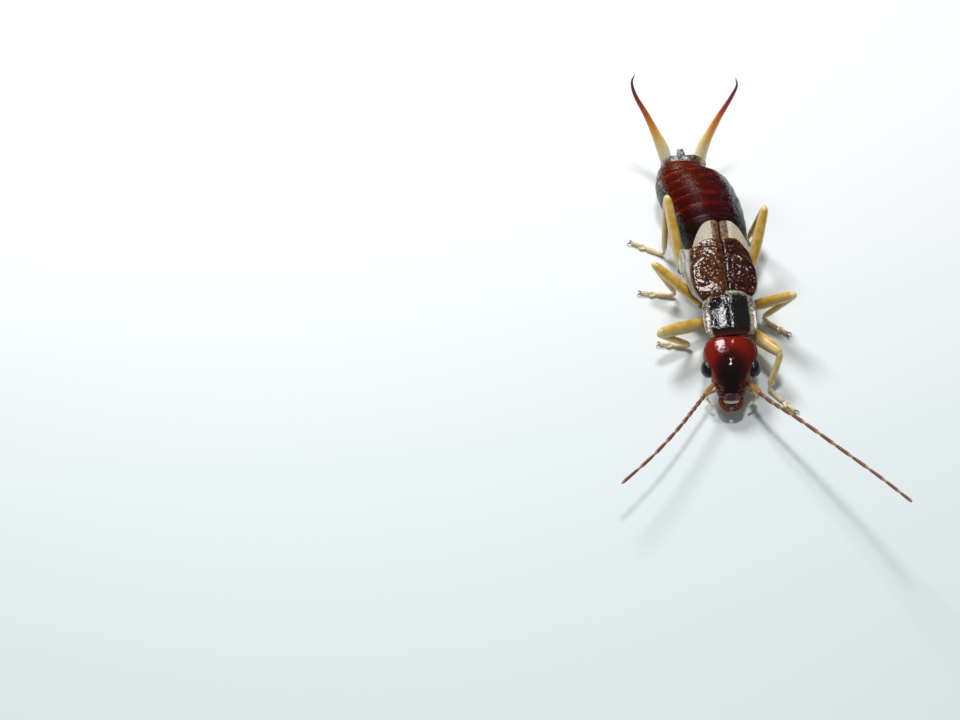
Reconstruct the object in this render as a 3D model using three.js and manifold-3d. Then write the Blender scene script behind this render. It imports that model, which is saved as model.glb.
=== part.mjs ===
import * as THREE from 'three';
import * as BufferGeometryUtils from 'three/addons/utils/BufferGeometryUtils.js';
import Module from 'manifold-3d';

const wasm = await Module();
wasm.setup();

// Earwig, life size in millimetres: head towards -Y, forceps towards +Y, feet at height 0
// The places below are measured from a point on the floor just in front of the pronotum

// Gap between nodes that touch
const GAP = 0.12;

// Head: its middle line from the nape to the front of the mouth, and its eyes
const NAPE = [-0.05, 0.02, 1.64];
const MOUTH = [-0.27, -2.42, 0.86];
const HEAD_WIDTHS = [
  [0, 0.8], [0.04, 0.96], [0.14, 1.09], [0.3, 1.14], [0.42, 1.06],
  [0.58, 0.8], [0.7, 0.67], [0.84, 0.5], [0.95, 0.4], [1, 0.3],
];
const HEAD_DEPTHS = [
  [0, 0.5], [0.05, 0.58], [0.2, 0.65], [0.45, 0.64], [0.66, 0.5], [0.86, 0.31], [1, 0.2],
];
const EYE_SIZE = [0.4, 0.24, 0.32];
const EYE_ALONG = 0.42;
const EYE_OUT = 0.97;
const EYE_UP = 0.08;

// Mouth: labrum, mandibles and the palps outside them
const LABRUM_LONG = 0.1;
const LABRUM_RISE = 0.06;
const LABRUM_DEPTH = 0.13;
const LABRUM_WIDTHS = [[0, 0.32], [0.6, 0.3], [1, 0.2]];
const MANDIBLE_LINE = [[0.84, 0.34, -0.3], [0.95, 0.44, -0.31], [1.03, 0.35, -0.32], [1.1, 0.11, -0.33]];
const MANDIBLE_RADII = [[0, 0.18], [0.5, 0.18], [0.85, 0.13], [1, 0.04]];
const PALP_LINE = [[0.7, 0.45, -0.42], [0.78, 0.85, -0.4], [0.9, 0.88, -0.36], [1.02, 0.66, -0.32]];
const PALP_RADII = [[0, 0.16], [0.4, 0.17], [0.9, 0.16], [1, 0.1]];

// Antennae: each middle line from its socket, where it is parted, and how many beads it has
const ANTENNAE = {
  right: {
    points: [
      [-0.9, -1.56, 1.22], [-1.58, -2.5, 1.34], [-2.45, -3.72, 1.52], [-3.59, -5.12, 1.76],
      [-4.94, -6.49, 2.0],
    ],
    parting: 0.5,
    base_beads: 5,
    tip_beads: 4,
  },
  left: {
    points: [
      [0.56, -1.72, 1.2], [1.01, -2.64, 1.52], [2.18, -4.35, 2.2], [3.45, -6.34, 2.95],
      [4.68, -8.3, 3.7], [5.6, -9.97, 4.4],
    ],
    parting: 0.5,
    base_beads: 7,
    tip_beads: 6,
  },
};
const SCAPE_LONG = 0.95;
const BEAD_THICK = 0.48;
const BEAD_WAIST = 0.36;
const BEAD_TAPER = 0.3;
const BEAD_FULLNESS = 0.7;

// Thorax: pronotum, folded forewings and the tips of the hindwings that show behind them
const PRONOTUM_FRONT = 0.14;
const PRONOTUM_LONG = 1.91;
const PRONOTUM_WIDTHS = [
  [0, 0.82], [0.04, 0.96], [0.15, 1.03], [0.6, 1.07], [0.85, 0.98], [0.96, 0.66], [1, 0.35],
];
const PRONOTUM_TOP = 2.38;
const PLATE_THICK = 0.5;
const TEGMINA_FRONT = 1.75;
const TEGMINA_LONG = 3.11;
const TEGMINA_WIDTHS = [
  [0, 1.2], [0.1, 1.34], [0.25, 1.41], [0.6, 1.4], [0.78, 1.28], [0.9, 1.06], [0.97, 0.72], [1, 0.4],
];
const TEGMINA_TOP = 2.5;
const SQUAMAE_FRONT = 4.1;
const SQUAMAE_LONG = 1.82;
const SQUAMAE_WIDTHS = [[0, 1.16], [0.3, 1.18], [0.6, 1.08], [0.82, 0.84], [0.94, 0.52], [1, 0.24]];
const SQUAMAE_TOP = 2.38;
const STERNUM_FRONT = 0.36;
const STERNUM_LONG = 4.05;
const STERNUM_HEIGHT = 1.18;
const STERNUM_WIDTHS = [
  [0, 0.5], [0.05, 0.66], [0.2, 0.8], [0.4, 0.86], [0.6, 0.98], [0.85, 1.12], [1, 1.1],
];
const STERNUM_DEPTHS = [[0, 0.3], [0.05, 0.42], [0.3, 0.52], [0.8, 0.56], [1, 0.52]];

// Neck, between the nape and the thorax
const NECK_LINE = [[-0.01, -0.3, 1.42], [0, 0.5, 1.3]];
const NECK_RADII = [[0, 0.36], [1, 0.36]];

// Abdomen: its middle line bends to the animal's right and its end is carried higher
const ABDOMEN_LINE = [
  [0, 4.53, 1.2], [-0.22, 6.4, 1.2], [-0.6, 7.9, 1.25], [-0.95, 9.0, 1.44], [-1.04, 9.46, 1.56],
];
const ABDOMEN_WIDTHS = [[0, 1.1], [0.08, 1.26], [0.4, 1.54], [0.62, 1.56], [0.82, 1.32], [1, 0.94]];
const ABDOMEN_DEPTHS = [[0, 0.6], [0.1, 0.8], [0.4, 0.95], [0.65, 0.98], [0.85, 0.82], [1, 0.6]];
const TERGITES = 10;
const TERGITE_RISE = 0.06;
const TERGITE_EDGE = 0.12;
const TAIL_LINE = [[-1.07, 9.59, 1.6], [-1.065, 9.8, 1.66], [-1.055, 9.97, 1.7]];
const TAIL_WIDTHS = [[0, 0.95], [0.5, 0.95], [1, 0.86]];
const TAIL_DEPTHS = [[0, 0.57], [0.5, 0.53], [1, 0.4]];
const PYGIDIUM_LINE = [[-1.12, 9.8, 1.82], [-1.14, 10.05, 1.9], [-1.15, 10.26, 1.96]];
const PYGIDIUM_RADII = [[0, 0.18], [0.6, 0.18], [1, 0.12]];

// Forceps: each blade's middle line from its root to its tip, and its thickness
const BLADES = {
  right: [
    [-1.72, 9.86, 1.6], [-1.98, 10.36, 2.3], [-2.43, 10.95, 3.35],
    [-2.9, 11.45, 4.3], [-2.97, 11.72, 4.75], [-2.82, 11.84, 5.05],
  ],
  left: [
    [-0.4, 9.84, 1.5], [-0.12, 10.2, 2.15], [0.47, 10.55, 3.25],
    [1.12, 10.9, 4.25], [1.34, 11.06, 4.7], [1.3, 11.2, 5.02],
  ],
};
const BLADE_RADII = [[0, 0.26], [0.2, 0.25], [0.6, 0.22], [0.85, 0.17], [1, 0.05]];

// Legs: hip, knee and ankle of each as they stand in the pose, and where its claws rest
const LEGS = {
  front_right: {
    hip: [-0.8, 1.66, 1.02],
    knee: [-2.92, 0.77, 1.72],
    ankle: [-1.62, 1.18, 0.3],
    claw: [-2.95, 1.5],
  },
  front_left: {
    hip: [0.62, 1.16, 1.0],
    knee: [1.86, -0.62, 1.62],
    ankle: [1.34, -1.26, 0.3],
    claw: [2.34, -2.56],
  },
  middle_right: {
    hip: [-0.95, 2.6, 0.96],
    knee: [-2.84, 3.96, 2.28],
    ankle: [-1.95, 3.86, 0.3],
    claw: [-3.5, 4.2],
  },
  middle_left: {
    hip: [0.88, 2.32, 0.92],
    knee: [2.7, 1.52, 2.56],
    ankle: [1.5, 2.26, 0.3],
    claw: [2.5, 1.36],
  },
  hind_right: {
    hip: [-1.62, 4.4, 0.98],
    knee: [-1.98, 7.12, 2.72],
    ankle: [-2.22, 6.04, 0.3],
    claw: [-3.66, 6.96],
  },
  hind_left: {
    hip: [1.16, 4.1, 0.92],
    knee: [1.98, 6.1, 2.72],
    ankle: [1.34, 6.42, 0.3],
    claw: [0.98, 7.62],
  },
};
const COXA = [0.38, 0.38, 0.32];
const HIND_COXA = [0.44, 0.44, 0.37];
const COXA_INSET = 0.1;
const FEMUR_RADII = [[0, 0.2], [0.12, 0.26], [0.5, 0.27], [0.88, 0.24], [0.97, 0.2], [1, 0.12]];
const TIBIA_RADII = [[0, 0.2], [0.15, 0.23], [0.9, 0.22], [0.98, 0.18], [1, 0.12]];
const TARSUS_RADII = [[0, 0.18], [0.1, 0.21], [0.5, 0.2], [0.6, 0.22], [0.7, 0.18], [0.9, 0.17], [1, 0.08]];
const TARSUS_HEIGHT = 0.16;
const HEEL_LONG = 0.4;

// Colour and roughness of each material
const INKS = {
  head: [0x4a1210, 0.2],
  eye: [0x14161c, 0.25],
  plate: [0x1d1210, 0.2],
  tegmen: [0x4a2414, 0.3],
  squama: [0xb9a884, 0.4],
  abdomen: [0x4b130d, 0.22],
  forceps: [0xb0703f, 0.3],
  leg: [0xc99a4c, 0.35],
  antenna: [0x8c4a2a, 0.4],
};

// How finely each form is faceted: its sides, its rings and how far they gather at both ends;
// a square above 2 makes its section boxier
const FACETS = {
  head: { sides: 20, count: 13, gather: 0.6, square: 2.3 },
  pronotum: { sides: 20, count: 10, gather: 0.7, square: 3.2 },
  wings: { sides: 20, count: 10, gather: 0.7, square: 3 },
  outline: { count: 10, gather: 0.8 },
  sternum: { sides: 16, count: 8, gather: 0.5, square: 2.4 },
  neck: { sides: 14, count: 2, gather: 0.5 },
  abdomen: { sides: 24, square: 2.1 },
  tail: { sides: 20, count: 5, gather: 0.5, square: 2.4 },
  pygidium: { sides: 8, count: 4, gather: 0.5 },
  blade: { sides: 12, count: 18, gather: 0.4 },
  bead: { sides: 8, count: 4 },
  femur: { sides: 10, count: 7, gather: 0.8 },
  tibia: { sides: 8, count: 6, gather: 0.8 },
  tarsus: { sides: 8, count: 10, gather: 0.3 },
  labrum: { sides: 10, count: 5, gather: 0.6, square: 3 },
  mandible: { sides: 8, count: 6, gather: 0.4 },
  palp: { sides: 8, count: 8, gather: 0.4 },
  ball: { sides: 12, count: 8 },
};

// A length well beyond the model, for the cutting shapes
const REACH = 20;

const UP = new THREE.Vector3(0, 0, 1);
const insect = new THREE.Group();

function point([x, y, z]) {
  return new THREE.Vector3(x, y, z);
}

function line(points) {
  return new THREE.CatmullRomCurve3(points.map(point), false, 'centripetal');
}

// The value of a size that varies along a part, read smoothly between its named places
function along(places, t) {
  const last = places.length - 2;
  const i = Math.min(Math.max(places.findIndex((place) => place[0] > t) - 1, 0), last);
  const k = t >= places[last + 1][0] ? last : i;
  const [from, start] = places[k];
  const [to, end] = places[k + 1];
  const [beforeFrom, beforeStart] = places[Math.max(k - 1, 0)];
  const [afterTo, afterEnd] = places[Math.min(k + 2, last + 1)];
  const run = to - from;
  const part = THREE.MathUtils.clamp((t - from) / run, 0, 1);
  const before = (end - beforeStart) / (to - beforeFrom);
  const after = (afterEnd - start) / (afterTo - from);
  const square = part * part;
  const cube = square * part;
  return (2 * cube - 3 * square + 1) * start + (cube - 2 * square + part) * run * before
    + (3 * square - 2 * cube) * end + (cube - square) * run * after;
}

function evenRings(count) {
  return Array.from({ length: count + 1 }, (_, i) => i / count);
}

// Places of the rings along a part, closer together towards both of its ends
function rings({ count, gather }) {
  const gathered = (s) => (1 - Math.cos(Math.PI * s)) / 2;
  return evenRings(count).map((s) => THREE.MathUtils.lerp(s, gathered(s), gather));
}

// A closed skin round a curve; shape(t, cos, sin) gives a point of the section as [across, up]
function swept(curve, shape, facets, stations = rings(facets)) {
  const skin = new THREE.CylinderGeometry(1, 1, 1, facets.sides, stations.length - 1);
  const corners = skin.attributes.position;
  const corner = new THREE.Vector3();
  for (let i = 0; i < corners.count; i += 1) {
    corner.fromBufferAttribute(corners, i);
    const t = stations[Math.round((corner.y + 0.5) * (stations.length - 1))];
    const ahead = curve.getTangent(t);
    const side = ahead.clone().cross(UP).normalize();
    const over = side.clone().cross(ahead);
    const [across, rise] = shape(t, corner.x, corner.z);
    corner.copy(curve.getPoint(t)).addScaledVector(side, across).addScaledVector(over, rise);
    corners.setXYZ(i, corner.x, corner.y, corner.z);
  }
  return solid(skin);
}

// A section with rounded sides, of a width and depth that vary along the part
function oval(width, depth, square = 2) {
  const bend = 2 / square;
  const round = (value) => Math.sign(value) * Math.abs(value) ** bend;
  return (t, c, s) => [width(t) * round(c), depth(t) * round(s)];
}

// A limb of round section, thickest where its table of radii says
function limb(points, radii, facets) {
  const radius = (t) => along(radii, t);
  return swept(line(points), oval(radius, radius), facets);
}

function solid(geometry) {
  const bare = geometry.clone();
  bare.deleteAttribute('normal');
  bare.deleteAttribute('uv');
  const welded = BufferGeometryUtils.mergeVertices(bare, 1e-5);
  return new wasm.Manifold(new wasm.Mesh({
    numProp: 3,
    vertProperties: new Float32Array(welded.attributes.position.array),
    triVerts: new Uint32Array(welded.index.array),
  }));
}

function ball([x, y, z], radii, turn = 0) {
  const geometry = new THREE.SphereGeometry(1, FACETS.ball.sides, FACETS.ball.count);
  geometry.scale(...radii);
  geometry.rotateZ(turn);
  geometry.translate(x, y, z);
  return solid(geometry);
}

function largest(shape) {
  const bodies = shape.decompose();
  return bodies.reduce((most, body) => (body.volume() > most.volume() ? body : most));
}

// A shape with its neighbours cut away; each neighbour is given already grown by the gap
function clear(shape, neighbours) {
  return largest(neighbours.reduce((left, neighbour) => left.subtract(neighbour), shape));
}

function block(from, to) {
  const geometry = new THREE.BoxGeometry(to[0] - from[0], to[1] - from[1], to[2] - from[2]);
  geometry.translate((from[0] + to[0]) / 2, (from[1] + to[1]) / 2, (from[2] + to[2]) / 2);
  return solid(geometry);
}

function add(name, shape, ink) {
  const mesh = shape.getMesh();
  const geometry = new THREE.BufferGeometry();
  geometry.setAttribute('position', new THREE.BufferAttribute(mesh.vertProperties, 3));
  geometry.setIndex(new THREE.BufferAttribute(mesh.triVerts, 1));
  const [color, roughness] = INKS[ink];
  const node = new THREE.Mesh(geometry, new THREE.MeshStandardMaterial({ color, roughness, metalness: 0 }));
  node.name = name;
  insect.add(node);
}

// Head, with a notch for each eye to sit in
const headLine = new THREE.LineCurve3(point(NAPE), point(MOUTH));
const headAhead = headLine.getTangent(0);
const headSide = headAhead.clone().cross(UP).normalize();
const headOver = headSide.clone().cross(headAhead);

function onHead(t, across, rise) {
  const place = headLine.getPoint(t).addScaledVector(headSide, across).addScaledVector(headOver, rise);
  return place.toArray();
}

function headForm(grow) {
  const width = (t) => along(HEAD_WIDTHS, t) + grow;
  const depth = (t) => along(HEAD_DEPTHS, t) + grow;
  return swept(headLine, oval(width, depth, FACETS.head.square), FACETS.head);
}

function eyeForm(side, grow) {
  const turn = Math.atan2(headAhead.y, headAhead.x);
  return ball(onHead(EYE_ALONG, side * EYE_OUT, EYE_UP), EYE_SIZE.map((size) => size + grow), turn);
}

const SIDES = { left: -1, right: 1 };
const head = clear(headForm(0), [eyeForm(SIDES.left, GAP / 2), eyeForm(SIDES.right, GAP / 2)]);
add('head', head, 'head');
for (const [name, side] of Object.entries(SIDES)) {
  add(`eye_${name}`, eyeForm(side, -GAP / 2), 'eye');
}

// A plate along the back with rounded sides, flat below and above
function plateForm(from, long, widths, top, facets) {
  const middle = top - PLATE_THICK / 2;
  const curve = new THREE.LineCurve3(point([0, from, middle]), point([0, from + long, middle]));
  const width = (t) => along(widths, t);
  const depth = () => PLATE_THICK / 2;
  return swept(curve, oval(width, depth, facets.square), facets);
}

// The space over a plate's outline, a gap wider than the plate and open above
function plateRoom(from, long, widths, low) {
  const outline = new THREE.Shape();
  const edge = rings(FACETS.outline).map((t) => [from + long * t, along(widths, t) + GAP]);
  outline.moveTo(0, from - GAP);
  edge.forEach(([y, x]) => outline.lineTo(x, y));
  outline.lineTo(0, from + long + GAP);
  edge.reverse().forEach(([y, x]) => outline.lineTo(-x, y));
  const geometry = new THREE.ExtrudeGeometry(outline, { depth: REACH, bevelEnabled: false });
  geometry.translate(0, 0, low);
  return solid(geometry);
}

const PRONOTUM = [PRONOTUM_FRONT, PRONOTUM_LONG, PRONOTUM_WIDTHS];
const TEGMINA = [TEGMINA_FRONT, TEGMINA_LONG, TEGMINA_WIDTHS];
const SQUAMAE = [SQUAMAE_FRONT, SQUAMAE_LONG, SQUAMAE_WIDTHS];
add('pronotum', plateForm(...PRONOTUM, PRONOTUM_TOP, FACETS.pronotum), 'plate');

// Forewings, and the hindwing tips behind them, each pair parted down the middle
const halves = {
  left: block([GAP / 2, -REACH, -REACH], [REACH, REACH, REACH]),
  right: block([-REACH, -REACH, -REACH], [-GAP / 2, REACH, REACH]),
};
const wings = plateForm(...TEGMINA, TEGMINA_TOP, FACETS.wings);
const tips = plateForm(...SQUAMAE, SQUAMAE_TOP, FACETS.wings);
const tegmina = clear(wings, [plateRoom(...PRONOTUM, -REACH / 2)]);
const squamae = clear(tips, [plateRoom(...TEGMINA, -REACH / 2)]);
for (const [name, half] of Object.entries(halves)) {
  add(`tegmen_${name}`, largest(tegmina.intersect(half)), 'tegmen');
  add(`wing_tip_${name}`, largest(squamae.intersect(half)), 'squama');
}

// Underside of the thorax, and the neck that joins it to the head
function sternumForm(grow) {
  const end = STERNUM_FRONT + STERNUM_LONG;
  const ends = [[0, STERNUM_FRONT - grow, STERNUM_HEIGHT], [0, end + grow, STERNUM_HEIGHT]];
  const width = (t) => along(STERNUM_WIDTHS, t) + grow;
  const depth = (t) => along(STERNUM_DEPTHS, t) + grow;
  const section = oval(width, depth, FACETS.sternum.square);
  return swept(new THREE.LineCurve3(...ends.map(point)), section, FACETS.sternum);
}

add('thorax', sternumForm(0), 'plate');
const neck = limb(NECK_LINE, NECK_RADII, FACETS.neck);
add('neck', clear(neck, [headForm(GAP), sternumForm(GAP)]), 'plate');

// Abdomen: each tergite rises towards its rear edge and then drops to the next
const abdomenLine = line(ABDOMEN_LINE);

// Height of a tergite over the one before it, growing evenly to its rear edge
function tergiteRise(t) {
  return TERGITE_RISE * ((t * TERGITES) % 1);
}

function abdomenForm(grow) {
  const inside = Array.from({ length: TERGITES }, (_, i) => [i, i + 0.5, i + 1 - TERGITE_EDGE]).flat();
  const stations = [...inside.map((place) => place / TERGITES), 1];
  const width = (t) => along(ABDOMEN_WIDTHS, t) + tergiteRise(t) + grow;
  const depth = (t) => along(ABDOMEN_DEPTHS, t) + tergiteRise(t) + grow;
  return swept(abdomenLine, oval(width, depth, FACETS.abdomen.square), FACETS.abdomen, stations);
}

const tailLine = line(TAIL_LINE);

function tailForm(grow) {
  const width = (t) => along(TAIL_WIDTHS, t) + grow;
  const depth = (t) => along(TAIL_DEPTHS, t) + grow;
  return swept(tailLine, oval(width, depth, FACETS.tail.square), FACETS.tail);
}

const wingRooms = [
  plateRoom(...SQUAMAE, SQUAMAE_TOP - PLATE_THICK - GAP),
  plateRoom(...TEGMINA, TEGMINA_TOP - PLATE_THICK - GAP),
];
add('abdomen', clear(abdomenForm(0), wingRooms), 'abdomen');
add('last_tergite', tailForm(0), 'abdomen');

// Pygidium: the small knob between the roots of the forceps
const pygidium = limb(PYGIDIUM_LINE, PYGIDIUM_RADII, FACETS.pygidium);
add('pygidium', clear(pygidium, [tailForm(GAP)]), 'forceps');

// Forceps: one curved blade on each side of the tail
for (const [name, blade] of Object.entries(BLADES)) {
  const shape = limb(blade, BLADE_RADII, FACETS.blade);
  add(`forceps_${name}`, clear(shape, [tailForm(GAP)]), 'forceps');
}

// A length of a longer curve, measured along it
class Stretch extends THREE.Curve {
  constructor(whole, from, to) {
    super();
    this.whole = whole;
    this.from = from;
    this.to = to;
  }

  getPoint(t) {
    return this.whole.getPointAt(THREE.MathUtils.lerp(this.from, this.to, t));
  }
}

// Antennae: a long scape, then beads narrowest where they meet
for (const [name, antenna] of Object.entries(ANTENNAE)) {
  const whole = line(antenna.points);
  const length = whole.getLength();
  const parts = {
    scape: [0, SCAPE_LONG / length, 1],
    base: [(SCAPE_LONG + GAP) / length, antenna.parting, antenna.base_beads],
    tip: [antenna.parting + GAP / length, 1, antenna.tip_beads],
  };
  for (const [part, [from, to, beads]] of Object.entries(parts)) {
    const thin = part === 'tip' ? BEAD_TAPER : 0;
    const radius = (t) => {
      const bead = Math.sin(Math.PI * ((t * beads) % 1)) ** BEAD_FULLNESS;
      return (BEAD_WAIST + (BEAD_THICK - BEAD_WAIST) * bead) * (1 - thin * t) / 2;
    };
    const stations = evenRings(beads * FACETS.bead.count);
    const section = oval(radius, radius);
    const shape = swept(new Stretch(whole, from, to), section, FACETS.bead, stations);
    add(`antenna_${name}_${part}`, clear(shape, [headForm(GAP)]), 'antenna');
  }
}

// Legs: coxa, femur, tibia and tarsus, each cleared of the one before it
const ground = block([-REACH, -REACH, -REACH], [REACH, REACH, 0]);

function toward(from, to, distance) {
  const start = point(from);
  return start.clone().add(point(to).sub(start).setLength(distance)).toArray();
}

// A straight piece of a leg, grown all round where it is to clear its neighbour
function legPiece(from, to, radii, facets, grow) {
  const thicker = radii.map(([t, radius]) => [t, radius + grow]);
  return limb([from, toward(to, from, -grow)], thicker, facets);
}

for (const [name, leg] of Object.entries(LEGS)) {
  const hind = name.startsWith('hind');
  const body = hind ? [sternumForm(GAP), abdomenForm(GAP)] : [sternumForm(GAP)];
  const coxaSize = hind ? HIND_COXA : COXA;
  const coxa = (grow) => {
    const centre = toward(leg.hip, leg.knee, -COXA_INSET);
    return ball(centre, coxaSize.map((radius) => radius + grow));
  };
  const femur = (grow) => legPiece(leg.hip, leg.knee, FEMUR_RADII, FACETS.femur, grow);
  const tibia = (grow) => legPiece(leg.knee, leg.ankle, TIBIA_RADII, FACETS.tibia, grow);
  const claw = [...leg.claw, TARSUS_HEIGHT];
  const heel = toward(leg.ankle, claw, HEEL_LONG);
  heel[2] = TARSUS_HEIGHT;
  const tarsus = limb([leg.ankle, heel, claw], TARSUS_RADII, FACETS.tarsus);
  add(`leg_${name}_coxa`, clear(coxa(0), body), 'leg');
  add(`leg_${name}_femur`, clear(femur(0), [coxa(GAP), ...body]), 'leg');
  add(`leg_${name}_tibia`, clear(tibia(0), [femur(GAP), ...body]), 'leg');
  add(`leg_${name}_tarsus`, clear(tarsus, [tibia(GAP), ground]), 'leg');
}

// Mouth: labrum in front, a curved mandible on each side of it, and the palps outside them
const labrumEnds = [onHead(1, 0, LABRUM_RISE), onHead(1 + LABRUM_LONG, 0, LABRUM_RISE)];
const labrumSection = oval((t) => along(LABRUM_WIDTHS, t), () => LABRUM_DEPTH, FACETS.labrum.square);
const labrumLine = new THREE.LineCurve3(...labrumEnds.map(point));
const labrum = swept(labrumLine, labrumSection, FACETS.labrum);
add('labrum', clear(labrum, [headForm(GAP)]), 'head');
for (const [name, side] of Object.entries(SIDES)) {
  const spread = ([t, across, rise]) => onHead(t, side * across, rise);
  const mandible = limb(MANDIBLE_LINE.map(spread), MANDIBLE_RADII, FACETS.mandible);
  add(`mandible_${name}`, clear(mandible, [headForm(GAP)]), 'head');
  const palp = limb(PALP_LINE.map(spread), PALP_RADII, FACETS.palp);
  add(`palp_${name}`, clear(palp, [headForm(GAP)]), 'leg');
}

// The model stands with the middle of its footprint at zero
const size = new THREE.Box3().setFromObject(insect);
const middle = size.getCenter(new THREE.Vector3());
insect.position.set(-middle.x, -middle.y, -size.min.z);

export default insect;
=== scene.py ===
import math

import bmesh
import bpy
from mathutils import Matrix, Vector


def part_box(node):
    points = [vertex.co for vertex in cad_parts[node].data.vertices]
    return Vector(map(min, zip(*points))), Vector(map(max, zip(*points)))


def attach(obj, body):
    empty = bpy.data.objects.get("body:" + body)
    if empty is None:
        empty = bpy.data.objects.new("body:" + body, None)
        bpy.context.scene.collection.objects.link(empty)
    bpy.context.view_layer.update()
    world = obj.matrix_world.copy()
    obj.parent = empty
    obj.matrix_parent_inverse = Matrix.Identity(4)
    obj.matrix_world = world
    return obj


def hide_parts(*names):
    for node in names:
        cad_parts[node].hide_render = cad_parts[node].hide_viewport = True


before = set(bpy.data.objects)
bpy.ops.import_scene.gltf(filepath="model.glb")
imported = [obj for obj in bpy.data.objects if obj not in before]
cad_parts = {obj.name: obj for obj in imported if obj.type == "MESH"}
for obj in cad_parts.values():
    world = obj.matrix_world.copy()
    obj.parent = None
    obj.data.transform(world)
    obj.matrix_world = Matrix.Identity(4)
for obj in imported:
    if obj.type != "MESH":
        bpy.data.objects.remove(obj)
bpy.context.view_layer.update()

# The animal is drawn in millimetres from a point on the floor just in front of the pronotum
MM = 0.001
UP = Vector((0, 0, 1))
PRONOTUM_FRONT = 0.14
plate_low, plate_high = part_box("pronotum")
START = Vector(((plate_low.x + plate_high.x) / 2, plate_low.y - PRONOTUM_FRONT * MM, 0))
TO_ROW = Matrix.Translation(START) @ Matrix.Scale(MM, 4)


# Camera: where it looks from, and the picture's pixel that the front of the pronotum falls on
VIEW_TURN = math.radians(-6)
VIEW_RISE = math.radians(53)
VIEW_DISTANCE = 110 * MM
VIEW_AIM = (0, 0, 2.2)
VIEW_PIXEL = (732.4, 335.7)
PICTURE = (960, 720)
PIXELS_PER_MM = 25
SENSOR = 36


def set_camera():
    back = Vector((
        math.sin(VIEW_TURN) * math.cos(VIEW_RISE),
        -math.cos(VIEW_TURN) * math.cos(VIEW_RISE),
        math.sin(VIEW_RISE),
    ))
    reach = PIXELS_PER_MM * VIEW_DISTANCE / MM
    yaw = math.atan((VIEW_PIXEL[0] - PICTURE[0] / 2) / reach)
    pitch = math.atan((PICTURE[1] / 2 - VIEW_PIXEL[1]) / reach * math.cos(yaw))
    right = Vector((math.cos(VIEW_TURN), math.sin(VIEW_TURN), 0))
    top = back.cross(right)
    ahead = -back * math.cos(yaw) - right * math.sin(yaw)
    right = right * math.cos(yaw) - back * math.sin(yaw)
    ahead, top = (
        ahead * math.cos(pitch) - top * math.sin(pitch),
        top * math.cos(pitch) + ahead * math.sin(pitch),
    )
    data = bpy.data.cameras.new("camera")
    data.sensor_width = SENSOR
    data.lens = reach * SENSOR / PICTURE[0]
    data.clip_start = 2 * MM
    data.clip_end = 10
    camera = bpy.data.objects.new("camera", data)
    bpy.context.scene.collection.objects.link(camera)
    turn = Matrix((right, top, -ahead)).transposed().to_4x4()
    camera.matrix_world = Matrix.Translation(TO_ROW @ Vector(VIEW_AIM) + back * VIEW_DISTANCE) @ turn
    bpy.context.scene.camera = camera


# A size that varies along a part, read smoothly from a table of places
def read(places, t):
    last = len(places) - 2
    k = last if t >= places[-1][0] else max(next(i for i, p in enumerate(places) if p[0] > t) - 1, 0)
    (start, a), (end, b) = places[k], places[k + 1]
    before, after = places[max(k - 1, 0)], places[min(k + 2, last + 1)]
    run = end - start
    part = min(max((t - start) / run, 0), 1)
    enter = (b - before[1]) / (end - before[0]) * run
    leave = (after[1] - a) / (after[0] - start) * run
    square, cube = part ** 2, part ** 3
    return (
        (2 * cube - 3 * square + 1) * a + (cube - 2 * square + part) * enter
        + (3 * square - 2 * cube) * b + (cube - square) * leave
    )


def soften(value, low, high):
    """0 at low and 1 at high, with a smooth way between"""
    part = min(max((value - low) / (high - low), 0), 1)
    return part * part * (3 - 2 * part)


def hump(value, width):
    """1 at nought, falling off on both sides"""
    return math.exp(-(value / width) ** 2)


def rounded(value, square):
    """A circle's place across or up, pushed out towards a square"""
    return math.copysign(abs(value) ** (2 / square), value)


# A smooth line through points, as the solids follow; an even one is measured along its length
class Line:
    FINE = 240
    STEP = 0.004

    def __init__(self, points, even=False):
        points = [Vector(p) for p in points]
        self.points = [2 * points[0] - points[1], *points, 2 * points[-1] - points[-2]]
        self.spans = len(points) - 1
        self.even = False
        walk = [self.at(i / self.FINE) for i in range(self.FINE + 1)]
        self.marks = [0]
        for one, two in zip(walk, walk[1:]):
            self.marks.append(self.marks[-1] + (two - one).length)
        self.length = self.marks[-1]
        self.even = even

    def at(self, t):
        if self.even:
            t = self.by_length(t)
        place = min(max(t, 0), 1) * self.spans
        k = min(int(place), self.spans - 1)
        part = place - k
        a, b, c, d = self.points[k:k + 4]
        one, two, three = ((q - p).length ** 0.5 for p, q in ((a, b), (b, c), (c, d)))
        enter = ((b - a) / one - (c - a) / (one + two) + (c - b) / two) * two
        leave = ((c - b) / two - (d - b) / (two + three) + (d - c) / three) * two
        square, cube = part ** 2, part ** 3
        bend = b * (2 * cube - 3 * square + 1) + c * (3 * square - 2 * cube)
        return bend + enter * (cube - 2 * square + part) + leave * (cube - square)

    def by_length(self, t):
        goal = min(max(t, 0), 1) * self.length
        k = next((i for i, mark in enumerate(self.marks) if mark >= goal), self.FINE)
        if k == 0:
            return 0
        span = self.marks[k] - self.marks[k - 1]
        return (k - 1 + (goal - self.marks[k - 1]) / span) / self.FINE

    def ahead(self, t):
        t = min(max(t, self.STEP), 1 - self.STEP)
        return (self.at(t + self.STEP) - self.at(t - self.STEP)).normalized()

    def reach(self, t):
        """The line's place at t, carried straight on beyond its two ends"""
        beyond = min(t, 0) + max(t - 1, 0)
        return self.at(t) + self.ahead(t) * (beyond * self.length)


# Marks that the finishes read: how far along, across and up on its part each point is
MARKS = ("along", "across", "height")


def new_shape():
    shape = bmesh.new()
    for mark in MARKS:
        shape.verts.layers.float.new(mark)
    return shape


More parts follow.
